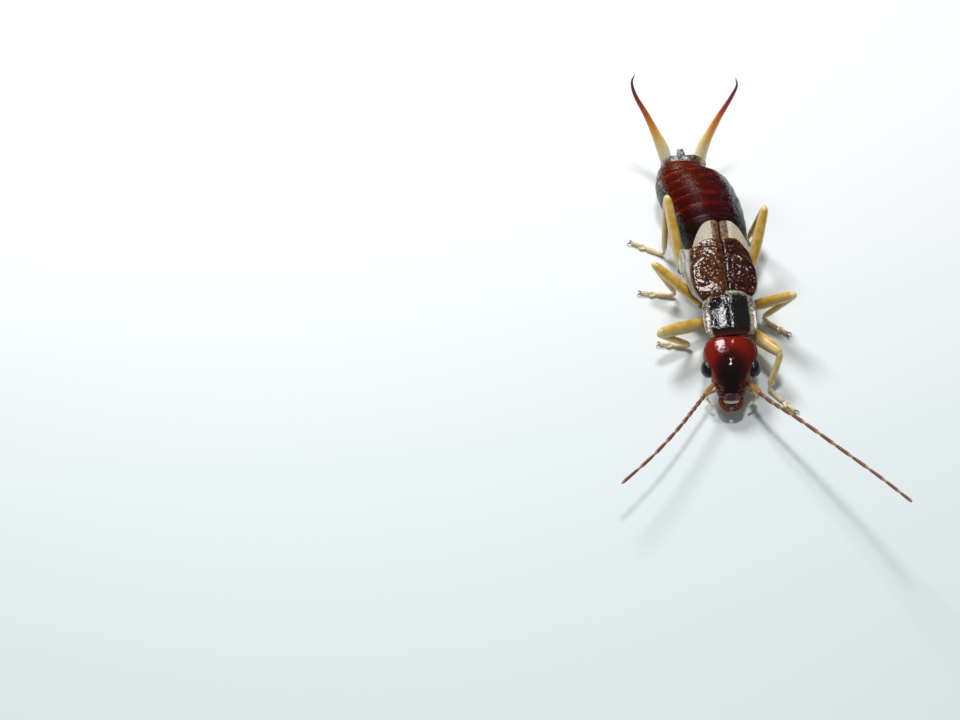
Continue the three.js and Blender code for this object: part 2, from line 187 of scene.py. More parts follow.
# A closed skin round a line: a cylinder is cut into rings, and each ring is put in its place
def wrap(shape, line, section, sides, stations, up=UP, marks=None):
    first = len(shape.verts)
    bmesh.ops.create_cone(
        shape, cap_ends=True, cap_tris=True, segments=sides, radius1=1, radius2=1, depth=1
    )
    shape.verts.ensure_lookup_table()
    upright = {
        edge for vert in shape.verts[first:] for edge in vert.link_edges
        if abs(edge.verts[0].co.z - edge.verts[1].co.z) > 0.5
    }
    bmesh.ops.subdivide_edges(shape, edges=list(upright), cuts=len(stations) - 2, use_grid_fill=True)
    shape.verts.ensure_lookup_table()
    along, across, height = (shape.verts.layers.float[m] for m in MARKS)
    for vert in shape.verts[first:]:
        k = round((vert.co.z + 0.5) * (len(stations) - 1))
        t = stations[k]
        ahead = line.ahead(t)
        side = ahead.cross(up).normalized()
        over = side.cross(ahead)
        c, s = vert.co.x, vert.co.y
        vert[along] = marks[k] if marks else t
        vert[across], vert[height] = c, s
        put = section(t, c, s)
        push = put[2] if len(put) > 2 else 0
        vert.co = line.reach(t) + side * put[0] + over * put[1] + ahead * push


# A round limb whose thickness follows a table
def limb(shape, line, radii, sides, stations, flat=1, up=UP, marks=None):
    def section(t, c, s):
        radius = read(radii, t)
        return radius * c, radius * s * flat

    wrap(shape, line, section, sides, stations, up, marks)


def ball(shape, centre, radii, turn=None, fineness=3):
    made = bmesh.ops.create_icosphere(shape, subdivisions=fineness, radius=1)["verts"]
    across, height = shape.verts.layers.float["across"], shape.verts.layers.float["height"]
    for vert in made:
        vert[across], vert[height] = vert.co.x, vert.co.z
    bmesh.ops.scale(shape, vec=Vector(radii), verts=made)
    if turn:
        bmesh.ops.rotate(shape, verts=made, matrix=turn)
    bmesh.ops.translate(shape, vec=Vector(centre), verts=made)


# An open sheet over the back: spread(u, w) puts u from -1 to 1 across and w from 0 to 1 along
def sheet(shape, spread, columns, rows, height_mark=0):
    made = bmesh.ops.create_grid(shape, x_segments=columns, y_segments=rows, size=1)["verts"]
    along, across, height = (shape.verts.layers.float[m] for m in MARKS)
    for vert in made:
        u, w = vert.co.x, (vert.co.y + 1) / 2
        vert[along], vert[across], vert[height] = w, u, height_mark
        vert.co = spread(u, w)


def even(count, start=0, end=1):
    return [start + (end - start) * i / count for i in range(count + 1)]


# A finished piece takes the place of its solids; wall makes a plate of an open sheet
def keep(name, shape, finish, nodes, smooth=1, wall=0):
    bmesh.ops.recalc_face_normals(shape, faces=shape.faces)
    bmesh.ops.transform(shape, matrix=TO_ROW, verts=shape.verts)
    data = bpy.data.meshes.new(name)
    shape.to_mesh(data)
    shape.free()
    data.polygons.foreach_set("use_smooth", [True] * len(data.polygons))
    piece = bpy.data.objects.new(name, data)
    bpy.context.scene.collection.objects.link(piece)
    data.materials.append(finish)
    if wall:
        thicken = piece.modifiers.new("wall", "SOLIDIFY")
        thicken.thickness = wall * MM
        thicken.offset = -1
    if smooth:
        round_off = piece.modifiers.new("smooth", "SUBSURF")
        round_off.levels = round_off.render_levels = smooth
    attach(piece, "root")
    if nodes:
        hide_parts(*nodes)
    return piece


# Finishes are built from nodes, with patterns read from the piece's marks or its place
class Finish:
    MIX_PART, MIX_ONE, MIX_TWO, MIX_RESULT = 0, 6, 7, 2

    def __init__(self, name, **settings):
        self.material = bpy.data.materials.new(name)
        self.material.use_nodes = True
        self.tree = self.material.node_tree
        self.shader = next(n for n in self.tree.nodes if n.type == "BSDF_PRINCIPLED")
        for socket, value in settings.items():
            self.shader.inputs[socket.replace("_", " ")].default_value = value
        self.place = self.tree.nodes.new("ShaderNodeTexCoord").outputs["Object"]

    def node(self, kind, feeds=(), **settings):
        node = self.tree.nodes.new(kind)
        for name, value in settings.items():
            setattr(node, name, value)
        for socket, value in dict(feeds).items():
            self.feed(node.inputs[socket], value)
        return node

    def feed(self, socket, value):
        if isinstance(value, bpy.types.NodeSocket):
            self.tree.links.new(value, socket)
        else:
            socket.default_value = value

    def mark(self, name):
        return self.node("ShaderNodeAttribute", attribute_name=name).outputs["Fac"]

    def noise(self, size, detail=3, stretch=(1, 1, 1)):
        spread = self.node("ShaderNodeMapping", {"Vector": self.place, "Scale": stretch})
        feeds = {"Vector": spread.outputs[0], "Scale": 1 / (size * MM), "Detail": detail}
        return self.node("ShaderNodeTexNoise", feeds).outputs["Fac"]

    def pits(self, size, feature="F1"):
        feeds = {"Vector": self.place, "Scale": 1 / (size * MM)}
        return self.node("ShaderNodeTexVoronoi", feeds, feature=feature).outputs["Distance"]

    def math(self, operation, one, two=0.0):
        return self.node("ShaderNodeMath", {0: one, 1: two}, operation=operation).outputs[0]

    def plus(self, one, two):
        return self.math("ADD", one, two)

    def minus(self, one, two):
        return self.math("SUBTRACT", one, two)

    def times(self, one, two):
        return self.math("MULTIPLY", one, two)

    def apart(self, value):
        """How far a value is from nought, whichever way"""
        return self.math("ABSOLUTE", value)

    def stray(self, value, size, amount, detail=3):
        """A value made uneven by noise"""
        return self.plus(value, self.times(self.noise(size, detail), amount))

    def step(self, value, low, high):
        feeds = {"Value": value, "From Min": low, "From Max": high}
        return self.node("ShaderNodeMapRange", feeds, interpolation_type="SMOOTHSTEP").outputs[0]

    def ramp(self, value, stops):
        ramp = self.node("ShaderNodeValToRGB", {"Fac": value})
        while len(ramp.color_ramp.elements) < len(stops):
            ramp.color_ramp.elements.new(1)
        for element, (place, colour) in zip(ramp.color_ramp.elements, stops):
            element.position = place
            element.color = (*colour, 1)
        return ramp.outputs["Color"]

    def mix(self, part, one, two):
        colours = [c if isinstance(c, bpy.types.NodeSocket) else (*c, 1) for c in (one, two)]
        node = self.node("ShaderNodeMix", data_type="RGBA")
        self.feed(node.inputs[self.MIX_PART], part)
        self.feed(node.inputs[self.MIX_ONE], colours[0])
        self.feed(node.inputs[self.MIX_TWO], colours[1])
        return node.outputs[self.MIX_RESULT]

    def patches(self, size, one, two, low=0.3, high=0.7, detail=3):
        """Two colours in soft patches of a size"""
        return self.mix(self.step(self.noise(size, detail), low, high), one, two)

    def colour(self, value):
        self.feed(self.shader.inputs["Base Color"], value)

    def rough(self, size, low, high):
        feeds = {"Value": self.noise(size), "To Min": low, "To Max": high}
        self.feed(self.shader.inputs["Roughness"], self.node("ShaderNodeMapRange", feeds).outputs[0])

    def bump(self, height, depth):
        feeds = {"Height": height, "Distance": depth * MM, "Strength": 1.0}
        normal = self.node("ShaderNodeBump", feeds).outputs[0]
        self.feed(self.shader.inputs["Normal"], normal)
        self.feed(self.shader.inputs["Coat Normal"], normal)


# Head: near black in front, red behind and at the sides, with freckled cheeks, and painted shade on the
# animal's left side
def head_shell():
    shell = Finish("head_shell", IOR=1.2, Coat_Weight=0.5, Coat_Roughness=0.035)
    along, across = shell.mark("along"), shell.mark("across")
    wide = shell.math("POWER", shell.math("DIVIDE", across, 0.72), 2.0)
    long = shell.math("POWER", shell.times(shell.minus(along, 0.66), 2.0), 2.0)
    away = shell.stray(shell.plus(wide, long), 0.3, 0.5)
    red = shell.ramp(shell.step(away, 0.1, 1.9), [
        (0.0, (0.004, 0.001, 0.001)), (0.35, (0.022, 0.001, 0.001)), (0.7, (0.1, 0.003, 0.001)),
        (1.0, (0.2, 0.008, 0.001)),
    ])
    freckles = shell.patches(0.08, (0.03, 0.006, 0.005), (0.2, 0.07, 0.04), 0.45, 0.6)
    cheek = shell.times(shell.step(along, 0.6, 0.78), shell.step(shell.apart(across), 0.3, 0.7))
    front = shell.mix(cheek, red, freckles)
    # Painted shade: the head's side on the animal's left is darkened
    painted_shade = shell.times(shell.step(across, -0.2, -0.8), 0.55)
    shell.colour(shell.mix(painted_shade, front, (0.03, 0.001, 0.001)))
    shell.rough(0.12, 0.07, 0.12)
    shell.bump(shell.noise(0.12, 4), 0.006)
    return shell.material


def eye_facets():
    eye = Finish("eye_facets", IOR=1.3, Coat_Weight=0.6, Coat_Roughness=0.04, Roughness=0.2)
    cell = eye.pits(0.034)
    eye.colour(eye.ramp(cell, [(0.0, (0.006, 0.008, 0.022)), (0.6, (0.002, 0.002, 0.006))]))
    eye.bump(eye.minus(1.0, cell), 0.008)
    return eye.material


# Pronotum: a black disc, red-brown at its front edge, with pale sides and rear edge
def pronotum_shield():
    plate = Finish("pronotum_shield", IOR=1.15, Coat_Weight=0.85, Coat_Roughness=0.08)
    along = plate.mark("along")
    side = plate.step(plate.stray(plate.apart(plate.mark("across")), 0.25, 0.1), 0.7, 0.84)
    rear = plate.step(plate.stray(along, 0.25, 0.1), 0.93, 1.02)
    front = plate.mix(plate.step(along, 0.0, 0.11), (0.11, 0.01, 0.006), (0.006, 0.005, 0.005))
    cream = plate.patches(0.1, (0.13, 0.11, 0.08), (0.46, 0.42, 0.33))
    plate.colour(plate.mix(plate.math("MAXIMUM", side, rear), front, cream))
    plate.rough(0.1, 0.1, 0.17)
    plate.bump(plate.noise(0.17), 0.03)
    return plate.material


# Forewing: pitted brown leather, with a pale streaked flank
def tegmen_leather(name, deep, warm, fold, fold_pale, coat, dimple):
    wing = Finish(name, Specular_IOR_Level=0.05, Coat_Weight=coat, Coat_Roughness=0.08)
    brown = wing.patches(0.22, deep, warm, detail=4)
    pitted = wing.mix(wing.step(wing.pits(0.12), 0.1, 0.5), (0.012, 0.003, 0.002), brown)
    hem = wing.mix(wing.step(wing.mark("along"), 0.94, 1.0), pitted, (0.14, 0.035, 0.01))
    flank = wing.step(wing.stray(wing.mark("across"), 0.3, 0.08), 0.6, 0.72)
    streaks = wing.noise(0.14, 4, (1, 0.22, 1))
    side = wing.mix(wing.step(streaks, 0.35, 0.65), fold, fold_pale)
    wing.colour(wing.mix(flank, hem, side))
    wing.rough(0.06, 0.12, 0.24)
    dimples = wing.step(wing.pits(0.16, "SMOOTH_F1"), 0.0, 0.5)
    wing.bump(wing.plus(dimples, wing.noise(0.18, 2)), dimple)
    return wing.material


# Hindwing tip: cream, with a brown band along the seam, as wide as the height mark makes it
def wing_tip_skin():
    tip = Finish("wing_tip_skin", IOR=1.45, Subsurface_Weight=0.12, Subsurface_Scale=0.15 * MM)
    from_band = tip.minus(tip.stray(tip.mark("across"), 0.25, 0.24), tip.times(tip.mark("height"), 0.5))
    cream = tip.mix(tip.noise(0.12), (0.37, 0.31, 0.2), (0.6, 0.55, 0.43))
    brown = tip.patches(0.1, (0.045, 0.011, 0.004), (0.2, 0.075, 0.026), 0.35, 0.65, 4)
    tip.colour(tip.mix(tip.step(from_band, 0.14, 0.0), cream, brown))
    tip.rough(0.1, 0.25, 0.45)
    tip.bump(tip.plus(tip.noise(0.07, 4), tip.pits(0.14)), 0.02)
    return tip.material


# Abdomen: dark in front and redder behind, with brighter rings' ends, grey-green flanks that are a
# painted reflection, and painted violet sheen and painted shade on the animal's left side
def tergite_chitin():
    ring = Finish("tergite_chitin", IOR=1.15)
    along, across, whole = ring.mark("along"), ring.mark("across"), ring.mark("stretch")
    deep = ring.ramp(whole, [
        (0.0, (0.004, 0.003, 0.004)), (0.33, (0.01, 0.003, 0.003)),
        (0.48, (0.055, 0.001, 0.001)), (1.0, (0.12, 0.014, 0.004)),
    ])
    bright = ring.ramp(whole, [
        (0.0, (0.02, 0.006, 0.006)), (0.33, (0.03, 0.004, 0.004)), (0.48, (0.15, 0.004, 0.002)),
        (0.75, (0.25, 0.012, 0.004)), (1.0, (0.26, 0.065, 0.016)),
    ])
    # Painted reflection: the grey-green of the flanks stands in for the sky's sheen at grazing angles
    sheen_grey = ring.ramp(whole, [
        (0.3, (0.04, 0.056, 0.054)), (0.5, (0.27, 0.32, 0.29)), (0.9, (0.42, 0.46, 0.4)),
    ])
    stripe = ring.times(ring.step(along, 0.5, 0.92), ring.step(ring.noise(0.35), 0.3, 0.6))
    red = ring.mix(stripe, deep, bright)
    mottled = ring.patches(0.07, (0.02, 0.008, 0.005), red, 0.34, 0.52)
    # Painted shade: the rings' side on the animal's left is darkened, with a noisy edge
    painted_shade = ring.step(ring.stray(across, 0.4, 1.0), 0.5, 1.3)
    uneven = ring.mix(ring.times(painted_shade, 0.75), mottled, (0.014, 0.004, 0.006))
    # Painted sheen: violet reflection patches on the rings' side on the animal's left
    violet_sheen = ring.times(ring.step(across, 0.1, 0.6), ring.step(ring.noise(0.13), 0.5, 0.62))
    back = ring.mix(ring.times(violet_sheen, 0.6), uneven, (0.055, 0.022, 0.045))
    # Uneven strength of the painted flank reflection, fading towards each ring's end
    sheen_spots = ring.times(ring.step(ring.noise(0.26, 4), 0.15, 0.75), ring.step(along, 1.0, 0.8))
    teal_sheen = ring.mix(sheen_spots, (0.035, 0.045, 0.043), sheen_grey)
    lean = ring.plus(ring.apart(across), ring.times(across, 0.07))
    flank = ring.mix(ring.step(ring.stray(lean, 0.1, 0.5, 4), 0.92, 1.2), back, teal_sheen)
    belly = ring.step(ring.mark("height"), -0.25, -0.5)
    ring.colour(ring.mix(belly, flank, (0.16, 0.07, 0.025)))
    ring.rough(0.08, 0.1, 0.2)
    ring.bump(ring.plus(ring.pits(0.07), ring.noise(0.05, 4)), 0.005)
    return ring.material


# Tail plates: grey-green that is a painted reflection, and olive brown to the animal's left of a place
# across them
def tail_chitin(name, brown_from):
    tail = Finish(name, IOR=1.52, Coat_Weight=0.4, Coat_Roughness=0.1)
    across = tail.stray(tail.mark("across"), 0.2, 0.5)
    # Painted reflection: the grey-green patches stand in for the sky's sheen on the glossy plates
    teal_sheen = tail.patches(0.1, (0.055, 0.075, 0.08), (0.19, 0.25, 0.25), 0.38, 0.62)
    olive = tail.patches(0.1, (0.03, 0.018, 0.006), (0.13, 0.075, 0.02), 0.4, 0.6)
    patch = tail.mix(tail.step(across, brown_from, brown_from + 0.3), teal_sheen, olive)
    rear = tail.mix(tail.step(tail.mark("along"), 0.3, 0.5), (0.09, 0.02, 0.006), patch)
    tail.colour(tail.mix(tail.step(tail.mark("height"), -0.2, -0.5), rear, (0.16, 0.06, 0.02)))
    tail.rough(0.1, 0.2, 0.38)
    tail.bump(tail.noise(0.07, 4), 0.015)
    return tail.material


# Forceps: cream at the root, then gold, red and near black, and a little clear
def forceps_horn():
    horn = Finish("forceps_horn", IOR=1.5, Coat_Weight=0.35, Coat_Roughness=0.1,
                  Subsurface_Weight=0.85, Subsurface_Scale=0.45 * MM, Subsurface_Radius=(1, 0.8, 0.5))
    along = horn.stray(horn.minus(horn.mark("along"), 0.06), 0.3, 0.12)
    horn.colour(horn.ramp(along, [
        (0.0, (1, 0.74, 0.55)), (0.12, (1, 0.85, 0.64)), (0.3, (0.98, 0.66, 0.24)),
        (0.46, (0.76, 0.33, 0.035)), (0.64, (0.42, 0.065, 0.02)), (0.84, (0.15, 0.02, 0.03)),
        (1.0, (0.03, 0.018, 0.024)),
    ]))
    horn.rough(0.1, 0.22, 0.36)
    horn.bump(horn.noise(0.08), 0.01)
    return horn.material


# Leg: honey yellow and a little clear, with other edges and ends
def leg_honey(name, deep, pale, ends):
    leg = Finish(name, IOR=1.48, Coat_Weight=0.2, Coat_Roughness=0.15,
                 Subsurface_Weight=0.5, Subsurface_Scale=0.3 * MM, Subsurface_Radius=(1, 0.75, 0.4))
    edge = leg.step(leg.apart(leg.mark("height")), 0.5, 0.95)
    body = leg.mix(leg.times(edge, 0.8), leg.patches(0.3, deep, pale), ends)
    joint = leg.apart(leg.minus(leg.mark("along"), 0.5))
    leg.colour(leg.mix(leg.step(joint, 0.4, 0.5), body, ends))
    leg.rough(0.1, 0.24, 0.4)
    leg.bump(leg.noise(0.06), 0.008)
    return leg.material


def antenna_beads():
    bead = Finish("antenna_beads", IOR=1.48)
    along = bead.mark("along")
    ring = bead.times(bead.step(along, 0.0, 0.2), bead.step(along, 1.0, 0.84))
    brown = bead.mix(bead.noise(0.2), (0.13, 0.035, 0.018), (0.27, 0.09, 0.045))
    bead.colour(bead.mix(ring, (0.5, 0.3, 0.17), brown))
    bead.rough(0.06, 0.35, 0.5)
    bead.bump(bead.noise(0.03), 0.008)
    return bead.material


# Labrum: a boss whose violet is a painted reflection, between freckled sides, with a pale front edge that
# is partly its own pale fringe and partly painted highlight
def labrum_horn():
    horn = Finish("labrum_horn", IOR=1.5, Coat_Weight=0.5, Coat_Roughness=0.06)
    flecks = horn.patches(0.08, (0.05, 0.01, 0.006), (0.26, 0.1, 0.05), 0.45, 0.6)
    side = horn.step(horn.apart(horn.mark("across")), 0.4, 0.62)
    # Painted reflection: the boss's violet stands in for the sky's sheen on the glossy labrum
    boss_sheen = horn.mix(side, (0.05, 0.014, 0.045), flecks)
    # The pale hem is partly the front edge's own pale fringe and partly painted highlight
    hem = horn.step(horn.stray(horn.mark("along"), 0.06, 0.3), 0.74, 0.84)
    horn.colour(horn.mix(hem, boss_sheen, (0.62, 0.5, 0.4)))
    horn.rough(0.08, 0.15, 0.28)
    horn.bump(horn.noise(0.06), 0.006)
    return horn.material


def mouth_horn(name, root, tip):
    horn = Finish(name, IOR=1.5, Coat_Weight=0.4, Coat_Roughness=0.08)
    horn.colour(horn.mix(horn.step(horn.mark("along"), 0.3, 1.0), root, tip))
    horn.rough(0.08, 0.15, 0.28)
    horn.bump(horn.noise(0.06), 0.006)
    return horn.material


# Seams of the thorax's side plates: each one's place along it, and how far back its top leans
SUTURES = [(0.12, 0.05), (0.32, 0.015), (0.44, -0.09), (0.6, 0.01), (0.72, -0.1), (0.91, 0.02)]


def thorax_plates():
    side = Finish("thorax_plates", IOR=1.45, Coat_Weight=0.15, Coat_Roughness=0.2)
    along, height = side.mark("along"), side.mark("height")
    plates = side.patches(0.3, (0.34, 0.22, 0.1), (0.2, 0.11, 0.045))
    plates = side.mix(side.step(height, -0.3, -0.8), plates, (0.12, 0.05, 0.02))
    for place, lean in SUTURES:
        seam = side.apart(side.minus(side.minus(along, place), side.times(height, lean)))
        plates = side.mix(side.step(seam, 0.003, 0.014), (0.1, 0.045, 0.02), plates)
    side.colour(plates)
    side.rough(0.1, 0.3, 0.5)
    side.bump(side.noise(0.07, 4), 0.015)
    return side.material


def joint_skin(name, pale, dark, size):
    skin = Finish(name, IOR=1.42, Subsurface_Weight=0.15, Subsurface_Scale=0.15 * MM)
    skin.colour(skin.patches(size, pale, dark))
    skin.rough(0.1, 0.35, 0.55)
    skin.bump(skin.noise(0.05, 4), 0.02)
    return skin.material


HEAD = head_shell()
EYE = eye_facets()
PRONOTUM = pronotum_shield()
# One pitted leather for both forewings: the animal's left one darker as painted shade, the animal's right
# one lighter and warmer as painted light
TEGMINA = {
    "left": tegmen_leather(
        "tegmen_maroon_shaded", (0.01, 0.002, 0.001), (0.06, 0.01, 0.003),
        (0.12, 0.11, 0.085), (0.38, 0.37, 0.32), 0.42, 0.021,
    ),
    "right": tegmen_leather(
        "tegmen_chestnut_lit", (0.024, 0.005, 0.001), (0.14, 0.043, 0.007),
        (0.26, 0.25, 0.19), (0.56, 0.56, 0.5), 0.55, 0.014,
    ),
}
WING_TIP = wing_tip_skin()
TERGITES = tergite_chitin()
TAIL = tail_chitin("tail_chitin", 0.2)
PYGIDIUM = tail_chitin("pygidium_chitin", 2)
FORCEPS = forceps_horn()
FEMUR = leg_honey("femur_honey", (0.54, 0.31, 0.03), (0.74, 0.5, 0.11), (0.8, 0.65, 0.33))
TIBIA = leg_honey("tibia_honey", (0.62, 0.42, 0.12), (0.76, 0.58, 0.26), (0.78, 0.64, 0.36))
TARSUS = leg_honey("tarsus_honey", (0.68, 0.52, 0.25), (0.8, 0.66, 0.4), (0.72, 0.58, 0.36))
COXA = leg_honey("coxa_honey", (0.36, 0.22, 0.07), (0.5, 0.34, 0.13), (0.24, 0.12, 0.04))
SCAPE = leg_honey("scape_honey", (0.5, 0.27, 0.05), (0.6, 0.38, 0.1), (0.26, 0.09, 0.03))
BEADS = antenna_beads()
LABRUM = labrum_horn()
MANDIBLE = mouth_horn("mandible_horn", (0.22, 0.024, 0.008), (0.07, 0.007, 0.003))
CLAW = mouth_horn("claw_horn", (0.3, 0.16, 0.06), (0.07, 0.03, 0.012))
THORAX_SIDE = thorax_plates()
BREAST = joint_skin("breast_plates", (0.2, 0.1, 0.035), (0.11, 0.045, 0.018), 0.4)
ROOT_SKIN = joint_skin("root_skin", (0.72, 0.53, 0.38), (0.5, 0.3, 0.18), 0.15)
NECK_SKIN = joint_skin("neck_skin", (0.3, 0.17, 0.09), (0.12, 0.05, 0.03), 0.2)


# Head: its middle line from the nape to the mouth, and the places on it
NAPE = Vector((-0.08, 0.02, 1.64))
MOUTH = Vector((-0.29, -2.42, 0.86))
HEAD_LINE = Line([NAPE, MOUTH])
HEAD_AHEAD = (MOUTH - NAPE).normalized()
HEAD_SIDE = HEAD_AHEAD.cross(UP).normalized()
HEAD_OVER = HEAD_SIDE.cross(HEAD_AHEAD)
HEAD_TURN = Matrix((HEAD_AHEAD, -HEAD_SIDE, HEAD_OVER)).transposed()
HEAD_WIDTHS = [
    (-0.09, 0.66), (-0.084, 0.76), (-0.065, 0.86), (-0.035, 0.94), (0.02, 1.02),
    (0.13, 1.09), (0.25, 1.1), (0.38, 1.01), (0.48, 0.9), (0.58, 0.79),
    (0.68, 0.68), (0.78, 0.6), (0.85, 0.54), (0.89, 0.45), (0.91, 0.32),
]
HEAD_TOPS = [
    (-0.09, 0.22), (-0.084, 0.32), (-0.065, 0.41), (-0.035, 0.475), (0.02, 0.53),
    (0.12, 0.605), (0.25, 0.68), (0.38, 0.725), (0.48, 0.73), (0.56, 0.695),
    (0.65, 0.59), (0.75, 0.45), (0.83, 0.34), (0.88, 0.26), (0.91, 0.17),
]
HEAD_UNDERS = [
    (-0.09, 0.2), (-0.06, 0.36), (0.04, 0.5), (0.3, 0.56), (0.6, 0.46), (0.85, 0.3), (0.91, 0.18),
]
HEAD_STATIONS = [
    -0.09, -0.088, -0.084, -0.077, -0.065, -0.045, -0.023, *even(34, 0, 0.87), 0.89, 0.903, 0.91,
]
EYE_PLACE = (0.415, 0.9, 0.08)
EYE_RADII = (0.37, 0.3, 0.34)
SIDES = {"left": -1, "right": 1}


def on_head(t, across, rise):
    return NAPE.lerp(MOUTH, t) + HEAD_SIDE * across + HEAD_OVER * rise


def head_section(t, c, s):
    across = read(HEAD_WIDTHS, t) * rounded(c, 2.3)
    if s < 0:
        return across, read(HEAD_UNDERS, t) * rounded(s, 2.2)
    rise = read(HEAD_TOPS, t) * rounded(s, 2.1)
    out = abs(across)
    crown = 0.03 * hump(out, 0.04) * soften(t, 0.16, 0.04)
    arm = 0.018 * hump(out - (t - 0.3) * 1.9, 0.06) * soften(t, 0.3, 0.36) * soften(t, 0.66, 0.58)
    dip = 0.035 * hump(out - 0.26, 0.14) * hump(t - 0.7, 0.07)
    brow = 0.04 * hump(out - 0.6, 0.12) * hump(t - 0.6, 0.07)
    lip = 0.03 * hump(t - 0.8, 0.02)
    ridge = 0.03 * hump(across, 0.3) * soften(t, 0.1, 0.4) * soften(t, 0.75, 0.6)
    return across, rise - s * (crown + arm + dip + lip - brow - ridge)


def make_head():
    shape = new_shape()
    wrap(shape, HEAD_LINE, head_section, 64, HEAD_STATIONS)
    keep("head_capsule", shape, HEAD, ["head"])
    for name, side in SIDES.items():
        shape = new_shape()
        t, across, rise = EYE_PLACE
        ball(shape, on_head(t, side * across, rise), EYE_RADII, HEAD_TURN, 4)
        keep(f"eye_{name}_facets", shape, EYE, [f"eye_{name}"], smooth=0)


# Mouth: labrum over the mandibles, palps beside and below them, each place as on_head takes it
LABRUM_LINE = [(0.84, 0, 0.22), (0.92, 0, 0.15), (0.98, 0, 0)]
LABRUM_WIDTHS = [(0, 0.31), (0.3, 0.34), (0.7, 0.32), (0.88, 0.26), (0.96, 0.18), (1, 0.08)]
LABRUM_DEPTHS = [(0, 0.07), (0.5, 0.065), (0.85, 0.045), (1, 0.02)]
MANDIBLE_LINE = [
    (0.78, 0.29, -0.1), (0.89, 0.4, -0.1), (0.97, 0.38, -0.12), (1.045, 0.22, -0.14), (1.08, 0.02, -0.15),
]
MANDIBLE_RADII = [(0, 0.12), (0.3, 0.12), (0.6, 0.1), (0.85, 0.07), (1, 0.02)]
MANDIBLE_TEETH = [(0.68, 0.1), (0.82, 0.08)]
TEETH_POINT_TO = (0.99, 0, -0.17)
PALP_LINE = [
    (0.68, 0.42, -0.36), (0.73, 0.7, -0.38), (0.78, 0.98, -0.34),
    (0.87, 0.93, -0.34), (0.97, 0.66, -0.36),
]
PALP_JOINTS = [0, 0.12, 0.22, 0.48, 0.74, 1]
PALP_RADIUS = 0.075
LIP_PALP_LINE = [(0.8, 0.14, -0.4), (0.9, 0.26, -0.46), (0.99, 0.22, -0.47)]
LIP_PALP_JOINTS = [0, 0.3, 0.6, 1]
LIP_PALP_RADIUS = 0.06
PALP_TAPER = 0.2
MOUTH_FLOOR_LINE = [(0.5, 0, -0.36), (0.8, 0, -0.4), (0.98, 0, -0.42)]
MOUTH_FLOOR_RADII = [(0, 0.3), (0.1, 0.36), (0.6, 0.34), (0.9, 0.22), (1, 0.08)]
SEGMENT_SHARES = [(0.02, 0.62), (0.1, 0.82), (0.4, 0.95), (0.75, 1.04), (0.9, 1.0), (0.98, 0.66)]


def jointed(joints, thick, taper):
    """Stations, radii and marks of a limb made of segments, narrow where they meet"""
    stations, radii, marks = [], [], []
    for start, end in zip(joints, joints[1:]):
        for share, part in SEGMENT_SHARES:
            t = start + (end - start) * share
            stations.append(t)
            radii.append((t, thick * part * (1 - taper * t)))
            marks.append(share)
    stations.append(1)
    radii.append((1, thick * 0.3 * (1 - taper)))
    marks.append(0.8)
    return stations, radii, marks


def head_line(points, side=1):
    return Line([on_head(t, side * across, rise) for t, across, rise in points])


def make_mouth():
    shape = new_shape()

    def section(t, c, s):
        return read(LABRUM_WIDTHS, t) * c, read(LABRUM_DEPTHS, t) * s + 0.05 * (1 - c * c) * (1 - t)

    wrap(shape, head_line(LABRUM_LINE), section, 28, even(14))
    keep("labrum_shield", shape, LABRUM, ["labrum"])
    for name, side in SIDES.items():
        shape = new_shape()
        line = head_line(MANDIBLE_LINE, side)
        limb(shape, line, MANDIBLE_RADII, 18, even(14), 0.8)
        for t, size in MANDIBLE_TEETH:
            root = line.at(t)
            way = (on_head(*TEETH_POINT_TO) - root).normalized()
            point = root + way * (read(MANDIBLE_RADII, t) + size)
            limb(shape, Line([root, point]), [(0, size), (1, 0.01)], 8, even(3))
        keep(f"mandible_{name}_horn", shape, MANDIBLE, [f"mandible_{name}"])
        shape = new_shape()
        stations, radii, marks = jointed(PALP_JOINTS, PALP_RADIUS, PALP_TAPER)
        limb(shape, head_line(PALP_LINE, side), radii, 12, stations, marks=marks)
        stations, radii, marks = jointed(LIP_PALP_JOINTS, LIP_PALP_RADIUS, PALP_TAPER)
        limb(shape, head_line(LIP_PALP_LINE, side), radii, 10, stations, marks=marks)
        keep(f"palp_{name}_joints", shape, TARSUS, [f"palp_{name}"])
    shape = new_shape()
    limb(shape, head_line(MOUTH_FLOOR_LINE), MOUTH_FLOOR_RADII, 20, even(10), 0.4)
    keep("mouth_floor", shape, MANDIBLE, [])


# Antennae: middle lines as the solids', a long scape, then segments of the lengths seen
ANTENNAE = {
    "right": {
        "points": [
            (-0.9, -1.56, 1.22), (-1.58, -2.5, 1.34), (-2.45, -3.72, 1.52), (-3.59, -5.12, 1.76),
            (-4.94, -6.49, 2.0),
        ],
        "lengths": [4, 8, 6, 7, 9, 11, 13, 16, 19, 22],
    },
    "left": {
        "points": [
            (0.56, -1.72, 1.2), (1.01, -2.64, 1.52), (2.18, -4.35, 2.2), (3.45, -6.34, 2.95),
            (4.68, -8.3, 3.7), (5.6, -9.97, 4.4),
        ],
        "lengths": [5, 11, 8, 12, 15, 17, 18, 19, 19.5, 19, 18, 14.6],
    },
}
SCAPE_LONG = 0.95
SCAPE_RADII = [(0, 0.07), (0.06, 0.095), (0.14, 0.075), (0.4, 0.1), (0.8, 0.118), (0.94, 0.1), (1, 0.05)]
BEAD_RADIUS = 0.088
BEAD_TAPER = 0.28
ROOT_DEPTH = 0.16
SOCKET_HIGH = 0.14
SOCKET_RADII = [(0, 0.15), (0.5, 0.17), (0.85, 0.15), (1, 0.1)]


